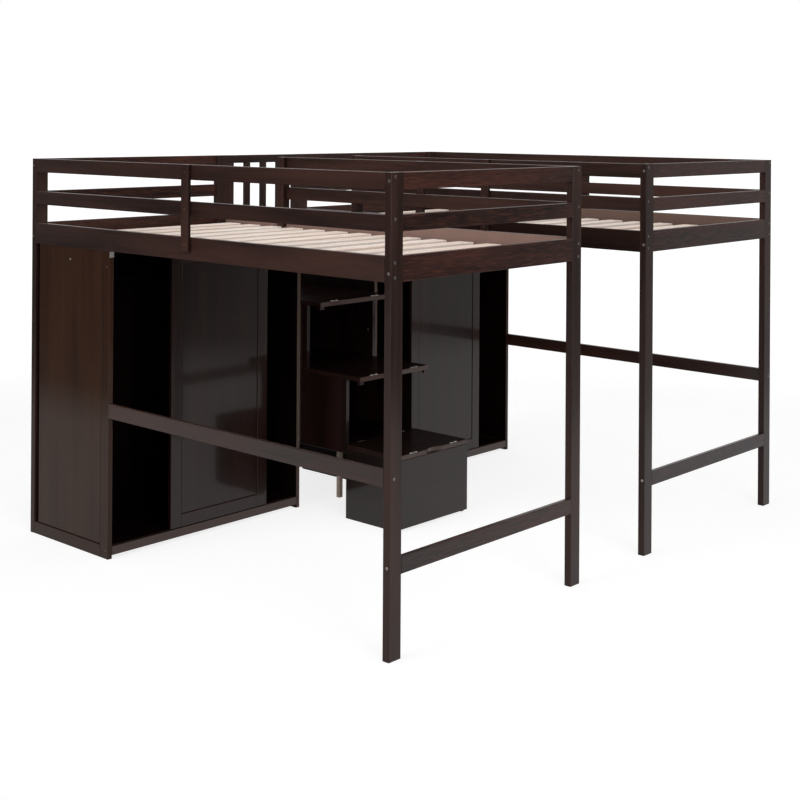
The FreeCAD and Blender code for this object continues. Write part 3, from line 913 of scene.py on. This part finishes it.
@dataclass(frozen=True)
class BedFrame(SubAssembly):
    """Posts, rails, beams and slats of one bed."""

    side: Side
    slat_count: int = 14
    slat_pitch: float = 137.5 * MM
    slat_wide: float = 72 * MM
    slat_thick: float = 15 * MM
    slat_ease: float = 2.5 * MM
    slat_seed: int = 11
    screw_inset: float = 14 * MM
    screw_seed: int = 21

    def build(self) -> None:
        """Dresses the frame and lays the slats."""
        word, finishes = self.side.word, self.finishes
        left = self.side is Side.LEFT
        offset = 0 if left else 1
        for index, post in enumerate(("foot_outer", "foot_inner", "head_outer", "head_inner")):
            self.node(f"{word}_{post}_post", finishes.post, Grain.ALONG_Z, (index + offset) % 3)
        for index, rail in enumerate(("outer_guard_rails", "outer_lower_rail", "inner_guard_rails")):
            self.node(f"{word}_{rail}", finishes.solid, Grain.ALONG_Y, (index + offset) % 3)
        # The beams' inner faces carry painted bounce light; the right inner beam also has painted shade on
        # its west face.
        outer = finishes.thin_east if left else finishes.thin_far
        inner = finishes.thin_west if left else finishes.shaded
        self.node(f"{word}_outer_beam", outer, Grain.ALONG_Y, 1 + offset)
        self.node(f"{word}_inner_beam", inner, Grain.ALONG_Y, 2 - offset)
        for index, rail in enumerate(("foot_guard_rails", "foot_beam", "foot_lower_rail", "head_rails")):
            self.node(f"{word}_{rail}", finishes.ruddy, Grain.ALONG_X, (index + offset) % 3)
        self.lay_slats()
        self.screw_slats()

    def slat_box(self) -> tuple[Vector, Vector]:
        """Finds the whole row of slats.

        Returns:
            Its lower and upper corner.
        """
        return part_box(f"{self.side.word}_slats")

    def lay_slats(self) -> None:
        """Lays the slats with a Geometry Nodes row."""
        low, high = self.slat_box()
        half = (high.x - low.x) / 2
        shape = board_piece(f"{self.side.word}_slat_shape", [Board(
            (-half, -self.slat_wide / 2, -self.slat_thick / 2),
            (half, self.slat_wide / 2, self.slat_thick / 2), Grain.ALONG_X)], self.slat_ease, self.slat_seed)
        for layer in ("grain", "tone"):
            shape.data.attributes.remove(shape.data.attributes[layer])
        pine = self.finishes.get(self.finishes.pine, Grain.BOARD)
        row = grown(f"{self.side.word}_pine_slats", bpy.data.meshes.new("empty"), slats_tree("slat_row"), {
            "First": ((low.x + high.x) / 2, low.y + self.slat_wide / 2, (low.z + high.z) / 2),
            "Pitch": self.slat_pitch, "Count": self.slat_count, "Shape": shape,
            "Seed": self.slat_seed + self.side.value, "Material": pine})
        bpy.data.objects.remove(shape)
        stand_in(row, pine, "frame", "pine", f"{self.side.word}_slats")

    def screw_slats(self) -> None:
        """Sets one screw in each end of each slat."""
        low, high = self.slat_box()
        points = []
        for index in range(self.slat_count):
            y = low.y + self.slat_wide / 2 + index * self.slat_pitch
            for x in (low.x + self.screw_inset, high.x - self.screw_inset):
                points.append(spot((x, y, high.z), (0, 0, 1)))
        self.hardware.set_out(f"{self.side.word}_slat_screws", self.hardware.screw, points, "frame",
                             self.screw_seed + self.side.value)


@dataclass(frozen=True)
class Wardrobe(SubAssembly):
    """The wardrobe under one bed, with its sliding door."""

    side: Side
    stile: float = 51 * MM
    foot_rail: float = 49 * MM
    tongue: float = 6 * MM
    reveal: float = 2.5 * MM
    recess: float = 2 * MM
    door_stile: float = 54 * MM
    door_rail: float = 53 * MM
    runner: float = 7 * MM
    runner_thick: float = 6 * MM
    panel_back: float = 1955 * MM
    half_length: float = 1005 * MM
    panel_screw_y: float = 1740 * MM
    panel_screw_z: float = 1144 * MM
    stile_screw_y: float = 16 * MM
    stile_screw_low: float = 31 * MM
    stile_screw_down: float = 60 * MM
    back_screw_rows: tuple[float, ...] = (40 * MM, 330 * MM, 620 * MM, 910 * MM, 1182 * MM)
    back_inset: float = 12 * MM
    joint_inset: float = 14 * MM
    ease: float = 1.6 * MM
    side_seed: int = 31
    door_seed: int = 41
    panel_screw_seed: int = 50
    screw_seed: int = 51

    def build(self) -> None:
        """Dresses the boards and builds the framed side and the door."""
        word = self.side.word
        # The inner side, top and back carry painted shade; the base takes the treads' painted shade and
        # painted light.
        self.node(f"{word}_wardrobe_inner_side", self.finishes.edged, Grain.ALONG_Z, 1)
        self.node(f"{word}_wardrobe_top", self.finishes.inside, Grain.ALONG_X)
        self.node(f"{word}_wardrobe_base", self.finishes.tread, Grain.ALONG_X, 1)
        self.node(f"{word}_wardrobe_back", self.finishes.backing, Grain.ALONG_Z, 2)
        self.framed_side()
        self.door()
        self.screws()

    def framed_side(self) -> None:
        """Builds the outer side from a stile, a foot rail and a tongued panel."""
        name = f"{self.side.word}_wardrobe_outer_side"
        low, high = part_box(name)
        inner = low.y + self.stile
        back = self.panel_back - self.half_length
        middle = (low.x + high.x) / 2
        tongue = self.tongue / 2
        boards = [
            Board((low.x, low.y, low.z), (high.x, inner, high.z), Grain.ALONG_Z),
            Board((low.x, inner, low.z), (high.x, high.y, low.z + self.foot_rail), Grain.ALONG_Y),
            Board((low.x + self.recess, inner + self.reveal, low.z + self.foot_rail + self.reveal),
                  (high.x - self.recess, back, high.z), Grain.ALONG_Z),
            Board((middle - tongue, inner - self.tongue, low.z + self.foot_rail - self.tongue),
                  (middle + tongue, back - self.reveal, high.z - self.reveal), Grain.ALONG_Z),
        ]
        piece = board_piece(f"{name}_boards", boards, self.ease, self.side_seed + self.side.value)
        # The inner faces of the outer sides carry painted shade.
        wood = self.finishes.side_east if self.side is Side.LEFT else self.finishes.side_west
        stand_in(piece, self.finishes.get(wood, Grain.BOARD), "frame", "espresso_panel", name)

    def door(self) -> None:
        """Builds the door from stiles, rails, a panel set back from them, and its runners."""
        name = f"{self.side.word}_wardrobe_door"
        low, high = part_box(name)
        z0, z1 = low.z + self.runner, high.z - self.runner
        x0, x1 = low.x + self.door_stile, high.x - self.door_stile
        middle = (low.y + high.y) / 2
        half = self.runner_thick / 2
        reach = self.tongue
        boards = [
            Board((low.x, low.y, z0), (x0, high.y, z1), Grain.ALONG_Z),
            Board((x1, low.y, z0), (high.x, high.y, z1), Grain.ALONG_Z),
            Board((x0, low.y, z0), (x1, high.y, z0 + self.door_rail), Grain.ALONG_X),
            Board((x0, low.y, z1 - self.door_rail), (x1, high.y, z1), Grain.ALONG_X),
            Board((x0 + self.reveal, low.y + self.recess, z0 + self.door_rail + self.reveal),
                  (x1 - self.reveal, high.y - self.recess, z1 - self.door_rail - self.reveal), Grain.ALONG_Z),
            Board((x0 - reach, middle - half, z0 + self.door_rail - reach),
                  (x1 + reach, middle + half, z1 - self.door_rail + reach), Grain.ALONG_Z),
            Board((low.x, middle - half, low.z), (high.x, middle + half, z0), Grain.ALONG_X),
            Board((low.x, middle - half, z1), (high.x, middle + half, high.z), Grain.ALONG_X),
        ]
        piece = board_piece(f"{name}_boards", boards, self.ease, self.door_seed + self.side.value)
        stand_in(piece, self.finishes.get(self.finishes.door, Grain.BOARD), f"{self.side.word}_door",
                 "door_gloss", name)

    def screws(self) -> None:
        """Sets the screws in the outer side and the rows of screws in the back."""
        word = self.side.word
        low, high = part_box(f"{word}_wardrobe_outer_side")
        outer = low.x if self.side is Side.LEFT else high.x
        out = (self.side.value, 0, 0)
        inset = -self.side.value * self.recess
        middle = self.panel_screw_y - self.half_length
        self.hardware.set_out(f"{word}_panel_screw", self.hardware.screw, [
            spot((outer + inset, middle, self.panel_screw_z), out)], "frame", self.panel_screw_seed)
        points = [spot((outer, low.y + self.stile_screw_y, z), out)
                  for z in (self.stile_screw_low, high.z - self.stile_screw_down)]
        low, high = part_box(f"{word}_wardrobe_back")
        joint = (low.x + high.x) / 2
        for z in self.back_screw_rows:
            for x in (low.x + self.back_inset, joint - self.joint_inset, joint + self.joint_inset,
                      high.x - self.back_inset):
                points.append(spot((x, high.y, z), (0, 1, 0)))
        self.hardware.set_out(f"{word}_wardrobe_screws", self.hardware.dark_screw, points, "frame",
                             self.screw_seed + self.side.value)


@dataclass(frozen=True)
class BoxStair(SubAssembly):
    """The three step boxes between the beds."""

    inner_x: float = 202 * MM
    screw_y: tuple[float, ...] = (477 * MM, 905 * MM)
    screw_z: float = 735 * MM
    screw_seed: int = 81

    def build(self) -> None:
        """Dresses the boxes."""
        # Lid and treads: near-black tops are painted shade and dark reflection, pale front faces painted
        # light.
        self.node("step_one_lid", self.finishes.lid, Grain.ALONG_X)
        for index, name in enumerate(("step_two_tread", "step_three_tread")):
            self.node(name, self.finishes.tread, Grain.ALONG_X, index + 1)
        for name in ("step_one_front", "step_corner_blocks"):
            self.node(name, self.finishes.sheet, Grain.ALONG_X)
        self.node("step_one_sides", self.finishes.box, Grain.ALONG_Y)
        for name in ("step_two_sides", "step_three_sides"):
            self.node(name, self.finishes.box, Grain.ALONG_Z)
        # Box floors and backs carry the painted shade.
        self.node("step_floors_and_backs", self.finishes.backing, Grain.ALONG_X)
        self.node("step_spacers_and_leg", self.finishes.batten, Grain.ALONG_Z)
        for name in ("lid_fittings", "step_fittings"):
            dress(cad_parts[name], self.hardware.steel)
        points = [spot((sign * self.inner_x, y, self.screw_z), (-sign, 0, 0))
                  for sign in (-1, 1) for y in self.screw_y]
        self.hardware.set_out("step_three_screws", self.hardware.screw, points, "frame",
                             self.screw_seed)


@dataclass(frozen=True)
class GuardPanel(SubAssembly):
    """The slatted guard between the two beds at the head end."""

    rail_tall: float = 37 * MM
    beam_tall: float = 84 * MM
    slat_wide: float = 31 * MM
    slat_count: int = 5
    ease: float = 1.6 * MM
    seed: int = 61

    def build(self) -> None:
        """Builds the two rails and the upright slats."""
        low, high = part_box("head_guard_panel")
        upper, lower = high.z - self.rail_tall, low.z + self.beam_tall
        boards = [
            Board((low.x, low.y, upper), (high.x, high.y, high.z), Grain.ALONG_X),
            Board((low.x, low.y, low.z), (high.x, high.y, lower), Grain.ALONG_X),
        ]
        pitch = (high.x - low.x - self.slat_wide) / (self.slat_count - 1)
        for index in range(self.slat_count):
            x = low.x + index * pitch
            boards.append(Board((x, low.y, lower), (x + self.slat_wide, high.y, upper), Grain.ALONG_Z))
        piece = board_piece("head_guard_boards", boards, self.ease, self.seed)
        stand_in(piece, self.finishes.get(self.finishes.solid, Grain.BOARD), "frame", "espresso_frame",
                 "head_guard_panel")


@dataclass(frozen=True)
class SharedParts(SubAssembly):
    """Pieces that both beds have in one node, and the bolts and screws through the posts and struts."""

    outer_x: float = 1260 * MM
    inner_x: float = 220 * MM
    end_y: float = 1005 * MM
    edge_inset: float = 19 * MM
    side_inset: float = 10 * MM
    strut_thick: float = 14 * MM
    inner_strut_y: float = -206 * MM
    entrance_y: float = 586 * MM
    rail_bolts: tuple[float, ...] = (1526 * MM, 1392 * MM, 1255 * MM, 1208 * MM)
    side_bolts: tuple[float, ...] = (1512 * MM, 1221 * MM)
    low_rail: float = 574 * MM
    foot_rail: float = 295 * MM
    strut_screws: tuple[float, ...] = (1512 * MM, 1379 * MM, 1250 * MM)
    bolt_seed: int = 71
    screw_seed: int = 72

    def bolts(self) -> list[Spot]:
        """Places and directions of the bolt heads on the posts.

        Returns:
            Pairs of place and direction.
        """
        points = []
        for sign in (-1, 1):
            edges = (sign * (self.outer_x - self.edge_inset), sign * (self.inner_x + self.edge_inset))
            points += [spot((x, end * self.end_y, z), (0, end, 0))
                       for end in (-1, 1) for x in edges for z in self.rail_bolts]
            points.append(spot((edges[0], -self.end_y, self.low_rail), (0, -1, 0)))
            foot, head = -self.end_y + self.side_inset, self.end_y - self.side_inset
            for z in (*self.side_bolts, self.foot_rail):
                points.append(spot((sign * self.outer_x, foot, z), (sign, 0, 0)))
                points.append(spot((sign * self.inner_x, foot, z), (-sign, 0, 0)))
            points += [spot((sign * self.outer_x, head, z), (sign, 0, 0)) for z in self.side_bolts]
        return points

    def screws(self) -> list[Spot]:
        """Places and directions of the screws through the struts into the rails.

        Returns:
            Pairs of place and direction.
        """
        points = []
        for sign in (-1, 1):
            for x, y, way in ((self.outer_x + self.strut_thick, 0.0, sign),
                              (self.inner_x - self.strut_thick, self.inner_strut_y, -sign),
                              (self.inner_x, self.entrance_y, -sign)):
                points += [spot((sign * x, y, z), (way, 0, 0)) for z in self.strut_screws]
        return points

    def build(self) -> None:
        """Dresses the shared nodes and sets out the bolts and screws."""
        self.node("slat_ledgers", self.finishes.solid, Grain.ALONG_Y, 2)
        # The struts' south faces carry painted shade.
        self.node("guard_struts", self.finishes.strut, Grain.ALONG_Z, 2)
        # The rods carry the painted shade of the wardrobes' insides.
        self.node("wardrobe_rods", self.finishes.inside, Grain.ALONG_X)
        dress(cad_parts["wardrobe_corner_plates"], self.hardware.steel)
        self.hardware.set_out("post_bolt_heads", self.hardware.bolt, self.bolts(), "frame", self.bolt_seed,
                             "post_bolts")
        self.hardware.set_out("strut_screws", self.hardware.dark_screw, self.screws(), "frame",
                             self.screw_seed)


@dataclass(frozen=True)
class SoftBox:
    """A square soft box; its size is in metres, its spread in degrees."""

    name: str
    place: tuple[float, float, float]
    aim: tuple[float, float, float]
    size: float
    watts: float
    spread: float

    def hang(self) -> None:
        """Hangs the lamp and turns it towards its aim."""
        data = bpy.data.lights.new(self.name, "AREA")
        data.shape = "SQUARE"
        data.size = self.size
        data.energy = self.watts
        data.spread = math.radians(self.spread)
        lamp = linked(self.name, data)
        lamp.location = self.place
        lamp.rotation_euler = (Vector(self.aim) - lamp.location).to_track_quat("-Z", "Y").to_euler()


# The grids of the lower two keep their light off the floor.
SOFT_BOXES = (
    SoftBox("soft_box_above", (0.2, -0.3, 5.2), (0.0, 0.0, 0.0), 4.5, 71.0, 180.0),
    SoftBox("soft_box_front", (-2.6, -6.0, 3.0), (-0.3, -0.5, 2.4), 3.5, 51.0, 70.0),
    SoftBox("soft_box_left", (-5.2, 0.5, 4.0), (-1.2, 0.0, 2.0), 3.5, 27.0, 60.0))

# Corners of the lower edges of the flags that stand beside the set; their glow, dark to pale, is a painted
# reflection.
FLAGS = {
    "flag_front": ((-1.6, -3.3, 0.0), (1.0, -3.2, 0.0), (1.7, -2.3, 0.0), (4.5, -1.0, 0.0)),
    "flag_left": ((-2.7, -1.2, 1.33), (-2.6, 2.4, 0.0), (-2.6, 4.6, 0.0))}


@dataclass(frozen=True)
class Studio:
    """Plain floor, soft light and the camera of the photograph, in the part's frame."""

    camera_place: tuple[float, float, float] = (-4.43879, -3.91657, 1.69488)
    yaw: float = 0.82499
    roll: float = 0.00598
    focal_pixels: float = 1374.66
    centre_pixels: tuple[float, float] = (385.99, 123.01)
    image_pixels: float = 800.0
    sensor: float = 36.0
    sight: float = 200.0
    sky_light: float = 0.3
    floor_half: float = 60.0
    floor_grey: float = 0.33
    floor_glow: float = 0.8
    near_floor: float = 3.0
    far_floor: float = 7.0
    flag_tall: float = 2.6
    flag_dark: float = 0.05
    flag_pale: float = 0.5
    flag_turns_pale: tuple[float, float] = (1.3, 2.2)
    flag_fade: float = 0.08

    def build(self) -> None:
        """Makes the camera, the lamps, the flags, the world and the floor."""
        self.camera()
        for box in SOFT_BOXES:
            box.hang()
        for name, foot in FLAGS.items():
            self.flag(name, foot)
        self.world()
        self.floor()

    def seen(self, tree: bpy.types.NodeTree) -> bpy.types.NodeSocket:
        """Adds a mask that is 1 for camera, glossy and transmission rays.

        Args:
            tree: Tree of the world or of a material.

        Returns:
            Value socket.
        """
        path = add(tree, "ShaderNodeLightPath")
        mask = add(tree, "ShaderNodeMath", {0: path["Is Camera Ray"], 1: path["Is Glossy Ray"]},
                   operation="MAXIMUM")[0]
        return add(tree, "ShaderNodeMath", {0: mask, 1: path["Is Transmission Ray"]},
                   operation="MAXIMUM")[0]

    def flag(self, name: str, foot: tuple[tuple[float, float, float], ...]) -> None:
        """Stands a folding flag beside the set, which only the reflections show: it glows from dark to pale
        along X, a painted reflection on the glossy faces.

        Args:
            name: Name of the flag.
            foot: Corners of its lower edge, which fades out.
        """
        count = len(foot)
        mesh = bpy.data.meshes.new(name)
        mesh.from_pydata([*foot, *((x, y, self.flag_tall) for x, y, _ in foot)], [],
                         [(i, i + 1, count + i + 1, count + i) for i in range(count - 1)])
        rise = mesh.attributes.new("rise", "FLOAT", "POINT")
        for index in range(count):
            rise.data[count + index].value = 1.0
        cloth, tree = empty_material(name)
        place = add(tree, "ShaderNodeTexCoord")["Object"]
        across = add(tree, "ShaderNodeSeparateXYZ", {0: place})["X"]
        # Glow from dark to pale along X: the painted reflection.
        dark_end, pale_end = self.flag_turns_pale
        strength = add(tree, "ShaderNodeMapRange", {
            0: across, 1: dark_end, 2: pale_end, 3: self.flag_dark, 4: self.flag_pale})[0]
        tone = add(tree, "ShaderNodeEmission", {"Strength": strength})[0]
        clear = add(tree, "ShaderNodeBsdfTransparent")[0]
        height = add(tree, "ShaderNodeAttribute", attribute_name="rise")["Fac"]
        cover = add(tree, "ShaderNodeMapRange", {0: height, 2: self.flag_fade})[0]
        both = add(tree, "ShaderNodeMixShader", {0: cover, 1: clear, 2: tone})[0]
        add(tree, "ShaderNodeOutputMaterial", {"Surface": both})
        mesh.materials.append(cloth)
        flag = linked(name, mesh)
        flag.visible_camera = flag.visible_diffuse = flag.visible_shadow = False

    def camera(self) -> None:
        """Sets the camera where the photograph's camera stood."""
        data = bpy.data.cameras.new("camera")
        data.sensor_width = self.sensor
        data.lens = self.focal_pixels / self.image_pixels * data.sensor_width
        half = self.image_pixels / 2
        data.shift_x = (half - self.centre_pixels[0]) / self.image_pixels
        data.shift_y = (self.centre_pixels[1] - half) / self.image_pixels
        data.clip_end = self.sight
        ahead = Vector((math.sin(self.yaw), math.cos(self.yaw), 0.0))
        right = Vector((math.cos(self.yaw), -math.sin(self.yaw), 0.0))
        up = Vector((0.0, 0.0, 1.0))
        tilted = right * math.cos(self.roll) + up * math.sin(self.roll)
        upright = up * math.cos(self.roll) - right * math.sin(self.roll)
        camera = linked("camera", data)
        camera.matrix_world = Matrix.Translation(self.camera_place) @ Matrix(
            (tilted, upright, -ahead)).transposed().to_4x4()
        bpy.context.scene.camera = camera

    def world(self) -> None:
        """Makes a world that looks white and gives a soft light."""
        world = bpy.data.worlds.new("studio")
        world.use_nodes = True
        tree = world.node_tree
        tree.nodes.clear()
        strength = add(tree, "ShaderNodeMapRange", {0: self.seen(tree), 3: self.sky_light})[0]
        sky = add(tree, "ShaderNodeBackground", {"Color": (1.0, 1.0, 1.0, 1.0), "Strength": strength})
        add(tree, "ShaderNodeOutputWorld", {"Surface": sky[0]})
        bpy.context.scene.world = world

    def floor(self) -> None:
        """Lays a plain white floor that keeps the shadow."""
        half = self.floor_half
        mesh = bpy.data.meshes.new("floor")
        mesh.from_pydata([(-half, -half, 0), (half, -half, 0), (half, half, 0), (-half, half, 0)], [],
                         [(0, 1, 2, 3)])
        material, tree = empty_material("white_floor")
        grey = (self.floor_grey, self.floor_grey, self.floor_grey, 1.0)
        lit = add(tree, "ShaderNodeBsdfDiffuse", {"Color": grey})[0]
        place = add(tree, "ShaderNodeTexCoord")["Object"]
        far = add(tree, "ShaderNodeVectorMath", {0: place}, operation="LENGTH")["Value"]
        strength = add(tree, "ShaderNodeMapRange", {
            0: far, 1: self.near_floor, 2: self.far_floor, 3: self.floor_glow})[0]
        glow = add(tree, "ShaderNodeEmission", {"Strength": strength})[0]
        both = add(tree, "ShaderNodeAddShader", {0: lit, 1: glow})[0]
        mixed = add(tree, "ShaderNodeMixShader", {0: self.seen(tree), 1: lit, 2: both})[0]
        add(tree, "ShaderNodeOutputMaterial", {"Surface": mixed})
        mesh.materials.append(material)
        linked("floor", mesh)


def main() -> None:
    """Builds every sub-assembly in order."""
    logging.basicConfig(level=logging.INFO, format="%(message)s")
    bpy.context.scene.view_settings.view_transform = "Standard"
    shared = (Finishes(), make_hardware())
    for side in Side:
        BedFrame(*shared, side).build()
        Wardrobe(*shared, side).build()
    for part in (BoxStair, GuardPanel, SharedParts):
        part(*shared).build()
    Studio().build()


if __name__ == "__main__":
    main()
